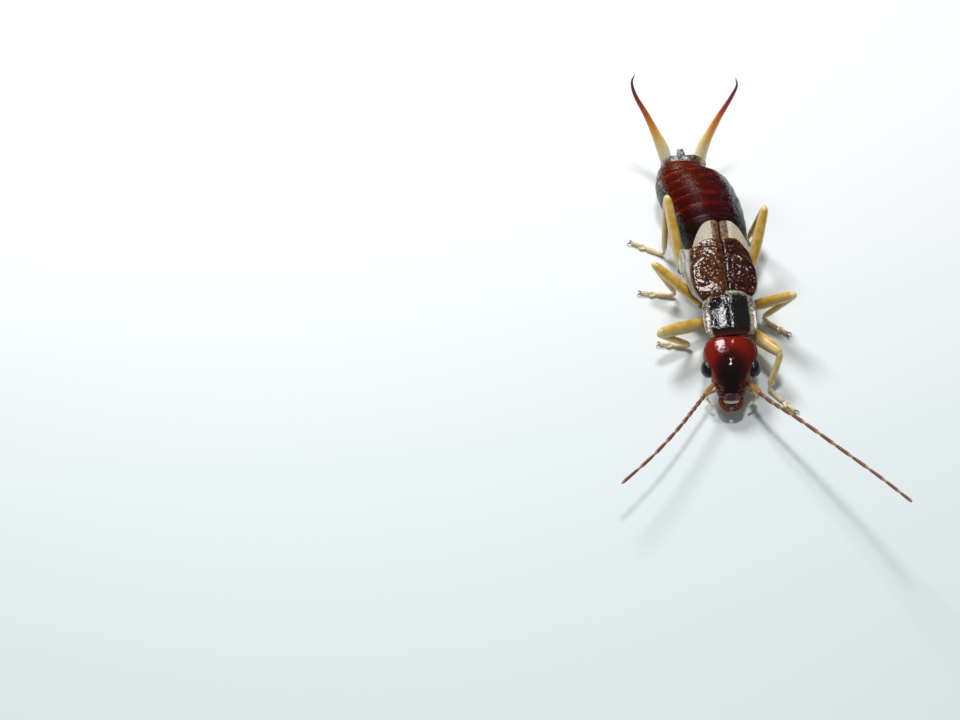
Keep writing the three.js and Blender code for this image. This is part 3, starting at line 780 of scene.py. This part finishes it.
def make_antenna(name):
    points, lengths = ANTENNAE[name]["points"], ANTENNAE[name]["lengths"]
    socket, toward = Vector(points[0]), Vector(points[1])
    way = (toward - socket).normalized()
    root = socket - way * ROOT_DEPTH
    whole = Line([root, *points[1:]], even=True)
    elbow = SCAPE_LONG / whole.length
    shape = new_shape()
    scape = Line([whole.at(elbow * t) for t in even(4)])
    limb(shape, scape, SCAPE_RADII, 16, even(16))
    keep(f"antenna_{name}_first_joint", shape, SCAPE, [f"antenna_{name}_scape"])
    joints = [0]
    for length in lengths:
        joints.append(joints[-1] + length / sum(lengths))
    stations, radii, marks = jointed(joints, BEAD_RADIUS, BEAD_TAPER)
    stations = [elbow + (1 - elbow) * t for t in stations]
    radii = [(elbow + (1 - elbow) * t, radius) for t, radius in radii]
    shape = new_shape()
    limb(shape, whole, radii, 14, stations, marks=marks)
    nodes = [f"antenna_{name}_base", f"antenna_{name}_tip"]
    keep(f"antenna_{name}_beads", shape, BEADS, nodes)
    shape = new_shape()
    limb(shape, Line([root, root + way * SOCKET_HIGH]), SOCKET_RADII, 20, even(6))
    keep(f"antenna_{name}_socket", shape, NECK_SKIN, [])


# Pronotum: a raised disc between thin pale sides
PRONOTUM_LONG = 1.97
PRONOTUM_LEVEL = 2.2
PRONOTUM_WALL = 0.08
PRONOTUM_WIDTHS = [(0, 0.86), (0.06, 0.97), (0.2, 1.04), (0.6, 1.07), (0.85, 1.03), (1, 0.93)]


def pronotum_spread(u, w):
    out = abs(u)
    x = read(PRONOTUM_WIDTHS, w) * math.copysign(out ** 0.85, u)
    rear = PRONOTUM_LONG - 0.38 * out ** 4
    front = 0.05 * out ** 6
    y = PRONOTUM_FRONT - 0.04 + front + (rear - front) * w
    disc = soften(w, -0.02, 0.14) * (1 - 0.5 * soften(w, 0.65, 0.9))
    dome = disc * (1 - soften(out, -0.1, 0.95)) * 0.15
    lobes = 0.012 * hump(out - 0.3, 0.22) * hump(w - 0.3, 0.26)
    groove = 0.02 * hump(u, 0.04) * soften(w, 0.08, 0.2) * soften(w, 0.95, 0.8)
    brim = 0.05 * soften(out, 0.86, 1)
    lift = 0.02 * w + 0.22 * soften(w, 0.62, 1) - 0.09 * soften(w, 0.13, 0)
    return Vector((x, y, PRONOTUM_LEVEL + lift + dome + lobes - groove + brim - 0.1 * out ** 2))


# Forewings: flat above, with rounded shoulders, and a flank bent down outside a low keel
TEGMEN_FRONT = 1.78
TEGMEN_LONG = 3.08
TEGMEN_LEVEL = 2.13
TEGMEN_GAP = 0.02
WING_WALL = 0.07
TEGMEN_WIDTHS = [(0, 1.02), (0.08, 1.2), (0.2, 1.32), (0.4, 1.38), (0.65, 1.36), (0.85, 1.28), (1, 1.2)]
TEGMEN_TRIM = 0.08
TEGMEN_SLANT = {"left": 0.95, "right": 0.35}
FLANK_REAR = {"left": 0, "right": 0.3}
KEEL = 0.62
FLANK_OUT = {"left": 0.06, "right": 0.55}
FLANK_SPREAD = [(0, 0), (0.3, 0.14), (0.5, 0.42), (0.7, 0.82), (0.88, 1.06), (1, 1.1)]
FLANK_DROP = 0.5


def tegmen_spread(name):
    side = 1 if name == "left" else -1

    def spread(u, w):
        part = (u + 1) / 2
        flat = min(part / ((KEEL + 1) / 2), 1)
        bent = soften(part, (KEEL + 1) / 2 - 0.06, 1)
        width = read(TEGMEN_WIDTHS, w) - TEGMEN_TRIM - TEGMEN_GAP
        x = TEGMEN_GAP + width * flat + FLANK_OUT[name] * bent * read(FLANK_SPREAD, w)
        rear = TEGMEN_LONG - 0.08 * hump(part, 0.12) - TEGMEN_SLANT[name] * soften(part, 0.3, 0.95) ** 1.6
        rear += FLANK_REAR[name] * (soften(part, 0.83, 0.93) - 0.8 * soften(part, 0.9, 1))
        y = TEGMEN_FRONT + 0.16 * part ** 3 + (rear - 0.16 * part ** 3) * w
        middle = soften(w, 0.2, 0.36) * soften(w, 0.74, 0.56)
        behind = soften(w, 0.56, 0.74) * soften(w, 1.05, 0.9)
        arch = 0.17 - 0.07 * middle - (0.17 - 0.07 * middle + 0.06 * behind) * flat ** (2 + 9 * middle)
        crown = arch + 0.26 * soften(w, -0.1, 0.12) - 0.08 - 0.05 * soften(w, 0.75, 1)
        seam = 0.05 * hump(part, 0.05)
        keel = 0.035 * hump(flat - 0.97, 0.06) * (1 - bent)
        drop = FLANK_DROP * (0.3 + 0.7 * soften(w, 0, 0.28)) * (1 - 0.35 * soften(w, 0.82, 1))
        return Vector((side * x, y, TEGMEN_LEVEL + crown - seam + keel - drop * bent))

    return spread


# Tips of the folded hindwings, with their widths and the height marks for their brown bands
SQUAMA_FRONT = 4.2
SQUAMA_LONG = 1.72
SQUAMA_LEVEL = 2.36
SQUAMA_GAP = 0.025
SQUAMA_WIDTHS = {"left": 1.16, "right": 1.13}
SQUAMA_BANDS = {"left": -0.72, "right": -0.9}


def squama_spread(name):
    side = 1 if name == "left" else -1

    def spread(u, w):
        part = (u + 1) / 2
        x = SQUAMA_GAP + (SQUAMA_WIDTHS[name] - SQUAMA_GAP) * part
        rear = SQUAMA_LONG - 0.08 * hump(part, 0.08) - 1.3 * part ** 3.2
        y = SQUAMA_FRONT + rear * w
        sag = 0.3 * part ** 3 + 0.08 * w * w
        folds = 0.02 * hump(part - 0.45, 0.1) - 0.04 * hump(part, 0.06)
        return Vector((side * x, y, SQUAMA_LEVEL - sag + folds))

    return spread


def make_back():
    shape = new_shape()
    sheet(shape, pronotum_spread, 44, 32)
    keep("pronotum_plate", shape, PRONOTUM, ["pronotum"], wall=PRONOTUM_WALL)
    for name in SIDES:
        shape = new_shape()
        sheet(shape, tegmen_spread(name), 40, 44)
        nodes = [f"tegmen_{name}"]
        keep(f"tegmen_{name}_plate", shape, TEGMINA[name], nodes, wall=WING_WALL)
        shape = new_shape()
        sheet(shape, squama_spread(name), 26, 30, SQUAMA_BANDS[name])
        nodes = [f"wing_tip_{name}"]
        keep(f"wing_tip_{name}_plate", shape, WING_TIP, nodes, wall=WING_WALL)


# Thorax under the wings, with its breast plates as start, end and half width, and the neck
THORAX_LINE = Line([(0, 0.36, 1.18), (0, 4.85, 1.18)])
THORAX_WIDTHS = [
    (0, 0.4), (0.05, 0.62), (0.2, 0.8), (0.4, 0.92), (0.6, 1.08), (0.85, 1.2), (0.97, 1.1), (1, 0.9),
]
THORAX_TOPS = [(0, 0.3), (0.1, 0.7), (0.35, 0.82), (0.5, 0.98), (1, 0.96)]
THORAX_UNDERS = [(0, 0.26), (0.05, 0.4), (0.3, 0.52), (0.8, 0.56), (1, 0.5)]
BREAST_PLATES = [(0.62, 1.5, 0.46), (1.72, 2.75, 0.62), (2.95, 4.25, 0.8)]
BREAST_LEVELS = (0.67, 0.63)
NECK_LINE = Line([(-0.03, -0.14, 1.5), (0, 0.6, 1.34)])


def make_thorax():
    shape = new_shape()

    def section(t, c, s):
        level = read(THORAX_TOPS if s > 0 else THORAX_UNDERS, t)
        crease = sum(0.045 * hump(t - place - lean * s, 0.022) for place, lean in SUTURES)
        return (read(THORAX_WIDTHS, t) - crease) * rounded(c, 2.5), (level - crease) * rounded(s, 2.5)

    wrap(shape, THORAX_LINE, section, 40, even(110))
    keep("thorax_side", shape, THORAX_SIDE, ["thorax"])
    shape = new_shape()
    for start, end, width in BREAST_PLATES:
        line = Line([(0, start, BREAST_LEVELS[0]), (0, end, BREAST_LEVELS[1])])

        def section(t, c, s, width=width):
            round_end = max(1 - abs(2 * t - 1) ** 3, 0.02) ** 0.5
            return width * round_end * (0.8 + 0.2 * t) * c, 0.09 * round_end * s

        wrap(shape, line, section, 28, even(14))
    keep("breast_shields", shape, BREAST, [])
    shape = new_shape()

    def section(t, c, s):
        fold = 0.03 * math.cos(t * math.pi * 8)
        return (0.5 + fold) * c, (0.42 + fold) * s

    wrap(shape, NECK_LINE, section, 28, even(24))
    keep("neck_folds", shape, NECK_SKIN, ["neck"])


# Abdomen: rings that slide under one another, bending to the animal's right and rising behind
ABDOMEN_LINE = Line([
    (0, 4.53, 1.2), (-0.22, 6.4, 1.2), (-0.6, 7.9, 1.25), (-1.01, 9.0, 1.44), (-1.12, 9.46, 1.56),
])
COLOUR_FRONT, COLOUR_REAR = 4.53, 9.6
ABDOMEN_WIDTHS = [(0, 1.1), (0.08, 1.26), (0.4, 1.53), (0.62, 1.49), (0.8, 1.17), (0.92, 1.01), (1, 0.87)]
ABDOMEN_TOPS = [(0, 0.7), (0.1, 0.84), (0.4, 0.97), (0.65, 0.98), (0.85, 0.84), (1, 0.64)]
ABDOMEN_UNDERS = [(0, 0.5), (0.1, 0.7), (0.4, 0.86), (0.65, 0.88), (0.85, 0.74), (1, 0.52)]
RINGS = 10
RING_ENDS = [(0, 0), (1, 0.13), (2, 0.25), (3, 0.35), (10, 1), (10.2, 1.0186)]
RING_PLACES = [
    (-0.08, -0.03), (0.06, -0.012), (0.3, 0.0), (0.6, 0.012), (0.88, 0.02), (1.0, 0.02), (1.02, 0.005),
]
# Rings with a gland's fold at each side, and how far it stands out
GLAND_RINGS = {2: 0.03, 3: 0.07}


def make_abdomen():
    shape = new_shape()
    stations, marks, lifts, rings = [], [], [], []
    for ring in range(RINGS):
        for place, lift in RING_PLACES:
            if ring + place < 0:
                continue
            stations.append(read(RING_ENDS, ring + place))
            marks.append(place)
            lifts.append(lift)
            rings.append(ring)
    order = {round(t, 6): k for k, t in enumerate(stations)}

    def section(t, c, s):
        k = order[round(t, 6)]
        level = read(ABDOMEN_TOPS if s > 0 else ABDOMEN_UNDERS, min(t, 1))
        lift = lifts[k] * (1 if s > 0 else 0.6)
        gland = GLAND_RINGS.get(rings[k], 0) * hump(abs(c) - 0.82, 0.1) * hump(marks[k] - 0.6, 0.25)
        lobe = gland if s > 0 else 0
        bow = 0.06 * (1 - c * c) * max(s, 0) - 0.3 * c * soften(t, 0.1, 0.4)
        return (
            (read(ABDOMEN_WIDTHS, min(t, 1)) + lift) * rounded(c, 2.1) + math.copysign(lobe, c),
            (level + lift) * rounded(s, 2.1) + lobe,
            bow,
        )

    wrap(shape, ABDOMEN_LINE, section, 56, stations, marks=marks)
    piece = keep("abdomen_rings", shape, TERGITES, ["abdomen"])
    stretch = piece.data.attributes.new("stretch", "FLOAT", "POINT")
    front, rear = (TO_ROW @ Vector((0, y, 0)) for y in (COLOUR_FRONT, COLOUR_REAR))
    for vert, value in zip(piece.data.vertices, stretch.data):
        value.value = (vert.co.y - front.y) / (rear.y - front.y)


# Tail: the last tergite, and the small pygidium between the forceps
TAIL_LINE = Line([(-1.1, 9.3, 1.54), (-1.1, 9.55, 1.6), (-1.07, 9.73, 1.65), (-1.06, 9.9, 1.69)])
TAIL_WIDTHS = [(0, 0.9), (0.3, 0.86), (0.6, 0.82), (0.88, 0.76), (0.97, 0.66), (1, 0.5)]
TAIL_TOPS = [(0, 0.58), (0.3, 0.58), (0.7, 0.55), (0.92, 0.42), (1, 0.26)]
TAIL_UNDERS = [(0, 0.45), (0.3, 0.5), (0.8, 0.44), (1, 0.2)]
PYGIDIUM_LINE = Line([(-1.12, 9.78, 1.85), (-1.14, 10.0, 1.91), (-1.15, 10.17, 1.96)])
PYGIDIUM_WIDTHS = [(0, 0.2), (0.5, 0.17), (0.85, 0.14), (1, 0.11)]


def make_tail():
    shape = new_shape()

    def section(t, c, s):
        if s < 0:
            return read(TAIL_WIDTHS, t) * rounded(c, 2.4), read(TAIL_UNDERS, t) * rounded(s, 2.4)
        knob = 0.07 * hump(abs(c) - 0.55, 0.16) * hump(t - 0.8, 0.16)
        seam = 0.05 * hump(c, 0.1) * soften(t, 0.3, 0.6)
        rise = read(TAIL_TOPS, t) * rounded(s, 2.4)
        return read(TAIL_WIDTHS, t) * rounded(c, 2.4), rise + knob - seam

    wrap(shape, TAIL_LINE, section, 56, [*even(24, 0, 0.96), 0.985, 1])
    keep("last_tergite_plate", shape, TAIL, ["last_tergite"])
    shape = new_shape()

    def knob_section(t, c, s):
        corner = 0.05 * soften(t, 0.75, 1) * soften(abs(c), 0.5, 0.9)
        return read(PYGIDIUM_WIDTHS, t) * rounded(c, 3), 0.09 * (1 - 0.4 * t) * rounded(s, 3), corner

    wrap(shape, PYGIDIUM_LINE, knob_section, 24, even(12))
    keep("pygidium_knob", shape, PYGIDIUM, ["pygidium"])


# Forceps: flattened at the root, with low teeth inside, then round, curved and fine-pointed
BLADES = {
    "right": [
        (-1.66, 9.7, 1.5), (-1.74, 9.9, 1.66), (-1.98, 10.36, 2.3), (-2.43, 10.95, 3.35),
        (-2.9, 11.45, 4.3), (-2.97, 11.72, 4.75), (-2.82, 11.84, 5.05),
    ],
    "left": [
        (-0.44, 9.68, 1.4), (-0.38, 9.88, 1.56), (-0.12, 10.2, 2.15), (0.47, 10.55, 3.25),
        (1.12, 10.9, 4.25), (1.34, 11.06, 4.7), (1.3, 11.2, 5.02),
    ],
}
BLADE_RADII = [
    (0, 0.27), (0.1, 0.28), (0.2, 0.255), (0.32, 0.205), (0.45, 0.16), (0.6, 0.12), (0.75, 0.092),
    (0.88, 0.062), (0.96, 0.034), (1, 0.01),
]
BLADE_TEETH = [0.16, 0.2, 0.24, 0.28]
ROOT_RADII = [(0, 0.16), (0.35, 0.29), (0.7, 0.325), (0.9, 0.31), (1, 0.24)]
BLADE_ROOTS = {"right": (-1.46, 9.42, 1.5), "left": (-0.66, 9.4, 1.44)}


def make_forceps(name):
    shape = new_shape()
    line = Line(BLADES[name], even=True)
    inward = 1 if name == "right" else -1

    def section(t, c, s):
        radius = read(BLADE_RADII, t)
        flat = 0.72 + 0.28 * soften(t, 0.1, 0.5)
        teeth = sum(0.05 * hump(t - place, 0.012) for place in BLADE_TEETH)
        return radius * c + inward * teeth * soften(inward * c, 0.5, 1), radius * flat * s

    wrap(shape, line, section, 28, [*even(60, 0, 0.97), 0.985, 1])
    keep(f"forceps_{name}_blade", shape, FORCEPS, [f"forceps_{name}"])
    shape = new_shape()
    limb(shape, Line([BLADE_ROOTS[name], line.at(0), line.at(0.055)]), ROOT_RADII, 24, even(14), 0.86)
    keep(f"forceps_{name}_root", shape, ROOT_SKIN, [])


# Legs: hip, knee and ankle of each, as in the solids, and where its claws rest
LEGS = {
    "front_right": ((-0.8, 1.66, 1.02), (-2.92, 0.77, 1.72), (-1.62, 1.18, 0.3), (-2.95, 1.5)),
    "front_left": ((0.62, 1.16, 1.0), (1.86, -0.62, 1.62), (1.34, -1.26, 0.3), (2.34, -2.56)),
    "middle_right": ((-0.95, 2.6, 0.96), (-2.84, 3.96, 2.28), (-1.95, 3.86, 0.3), (-3.5, 4.2)),
    "middle_left": ((0.88, 2.32, 0.92), (2.7, 1.52, 2.56), (1.5, 2.26, 0.3), (2.5, 1.36)),
    "hind_right": ((-1.62, 4.4, 0.98), (-1.98, 7.12, 2.72), (-2.22, 6.04, 0.3), (-3.66, 6.96)),
    "hind_left": ((1.16, 4.1, 0.92), (1.98, 6.1, 2.72), (1.34, 6.42, 0.3), (0.98, 7.62)),
}
HIP_RADII = [(0, 0.3), (0.25, 0.33), (0.7, 0.27), (0.95, 0.2), (1, 0.14)]
HIP_BALL = (0.18, 0.18, 0.17)
FEMUR_RADII = [
    (0, 0.12), (0.05, 0.18), (0.2, 0.23), (0.45, 0.25),
    (0.75, 0.225), (0.92, 0.19), (0.975, 0.165), (1, 0.1),
]
TIBIA_RADII = [(0, 0.07), (0.04, 0.11), (0.12, 0.125), (0.4, 0.14), (0.8, 0.14), (0.96, 0.12), (1, 0.06)]
FIRST_TARSUS_RADII = [(0, 0.06), (0.1, 0.085), (0.6, 0.09), (0.95, 0.1), (1, 0.06)]
LAST_TARSUS_RADII = [(0, 0.055), (0.15, 0.068), (0.7, 0.074), (0.95, 0.09), (1, 0.05)]
LOBE_WIDTHS = [(0, 0.06), (0.3, 0.11), (0.75, 0.165), (0.95, 0.14), (1, 0.07)]
CLAW_RADII = [(0, 0.042), (0.5, 0.03), (1, 0.008)]
FRONT_THICKER = 1.15
FOOT_LEVEL = 0.096
CLAW_LEVEL = 0.02


def make_leg(name):
    hip, knee, ankle, claw = (Vector(p) for p in (*LEGS[name][:3], (*LEGS[name][3], CLAW_LEVEL)))
    side = 1 if name.endswith("left") else -1
    plane = (knee - hip).cross(ankle - knee).normalized()

    shape = new_shape()
    inner = Vector((hip.x - side * 0.42, hip.y - 0.05, hip.z - 0.06))
    limb(shape, Line([inner, hip]), HIP_RADII, 20, even(10))
    ball(shape, hip.lerp(knee, 0.02), HIP_BALL)
    keep(f"leg_{name}_hip", shape, COXA, [f"leg_{name}_coxa"])

    shape = new_shape()
    bow = (hip + knee) / 2 + UP * 0.03
    thick = FRONT_THICKER if name.startswith("front") else 1
    radii = [(t, radius * thick) for t, radius in FEMUR_RADII]
    limb(shape, Line([hip, bow, knee]), radii, 20, even(20), 0.92, plane)
    keep(f"leg_{name}_thigh", shape, FEMUR, [f"leg_{name}_femur"])

    shape = new_shape()
    thigh, shin = (knee - hip).normalized(), (ankle - knee).normalized()
    start = knee - thigh * 0.06
    middle = knee.lerp(ankle, 0.4) + thigh * 0.03
    line = Line([start, knee.lerp(ankle, 0.08), middle, ankle])
    limb(shape, line, TIBIA_RADII, 16, even(20), 0.9, plane)
    keep(f"leg_{name}_shin", shape, TIBIA, [f"leg_{name}_tibia"])

    shape = new_shape()
    run = Vector((claw.x - ankle.x, claw.y - ankle.y, 0))
    way = run.normalized()
    first = ankle + shin * 0.02
    sole = Vector((ankle.x, ankle.y, FOOT_LEVEL))
    heel = sole + way * 0.2 + UP * 0.03
    lobe = sole + run * 0.52
    after = sole + run * 0.66
    end = sole + run - way * 0.16 + UP * 0.02
    limb(shape, Line([first, heel, lobe]), FIRST_TARSUS_RADII, 12, even(14))
    last = Line([after - way * 0.08, after.lerp(end, 0.5) + UP * 0.03, end])
    limb(shape, last, LAST_TARSUS_RADII, 12, even(12))

    def lobe_section(t, c, s):
        wide = read(LOBE_WIDTHS, t)
        return wide * c, 0.05 * (0.6 + 0.4 * t) * s, 0.07 * soften(abs(c), 0.3, 1) * t

    wrap(shape, Line([lobe - way * 0.05, after - way * 0.02]), lobe_section, 16, even(8))
    for vertex in shape.verts:
        vertex.co.z = max(vertex.co.z, 0)
    keep(f"leg_{name}_foot", shape, TARSUS, [f"leg_{name}_tarsus"])

    shape = new_shape()
    across = way.cross(UP)
    for turn in (-1, 1):
        root = end + across * (0.03 * turn)
        bend = end + way * 0.1 + across * (0.09 * turn)
        point = claw + across * (0.11 * turn)
        limb(shape, Line([root, bend, point]), CLAW_RADII, 8, even(6))
    keep(f"leg_{name}_claws", shape, CLAW, [])


# Floor and light: a pale floor, painted darker towards the camera as painted shade, and a light overhead
# and a window behind, by place, size and power
FLOOR_HALF = 1.5
FLOOR_FADE = 16
FLOOR_NEAR_SHADED = (0.7, 0.79, 0.79)
FLOOR_FAR_LIT = (0.87, 0.88, 0.9)
SKY = (0.93, 0.97, 1, 1)
SKY_POWER = 0.2
LAMPS = {"overhead": ((4, 20, 150), 20, 0.089), "window": ((-36, 96, 118), 46, 0.156)}


def make_stage():
    data = bpy.data.meshes.new("floor")
    shape = bmesh.new()
    bmesh.ops.create_grid(shape, x_segments=1, y_segments=1, size=FLOOR_HALF)
    shape.to_mesh(data)
    shape.free()
    floor = bpy.data.objects.new("floor", data)
    bpy.context.scene.collection.objects.link(floor)
    paint = Finish("floor_paint", Roughness=0.55)
    # Painted shade: the floor darkens towards the camera, standing in for the light falling off
    rise = paint.node("ShaderNodeSeparateXYZ", {0: paint.place}).outputs["Y"]
    far = paint.step(rise, -FLOOR_FADE * MM, FLOOR_FADE * MM)
    paint.colour(paint.ramp(far, [(0, FLOOR_NEAR_SHADED), (1, FLOOR_FAR_LIT)]))
    data.materials.append(paint.material)

    world = bpy.data.worlds.new("studio")
    world.use_nodes = True
    sky = world.node_tree.nodes["Background"]
    sky.inputs["Color"].default_value = SKY
    sky.inputs["Strength"].default_value = SKY_POWER
    bpy.context.scene.world = world

    for name, (place, size, power) in LAMPS.items():
        lamp = bpy.data.lights.new(name, "AREA")
        lamp.size = size * MM
        lamp.energy = power
        light = bpy.data.objects.new(name, lamp)
        bpy.context.scene.collection.objects.link(light)
        light.location = Vector(place) * MM
        light.rotation_mode = "QUATERNION"
        light.rotation_quaternion = Vector(place).to_track_quat("Z", "Y")

    settings = bpy.context.scene.view_settings
    settings.view_transform = "Standard"
    settings.look = "None"


set_camera()
make_head()
make_mouth()
for side_name in SIDES:
    make_antenna(side_name)
make_back()
make_thorax()
make_abdomen()
make_tail()
for side_name in SIDES:
    make_forceps(side_name)
for leg_name in LEGS:
    make_leg(leg_name)
make_stage()
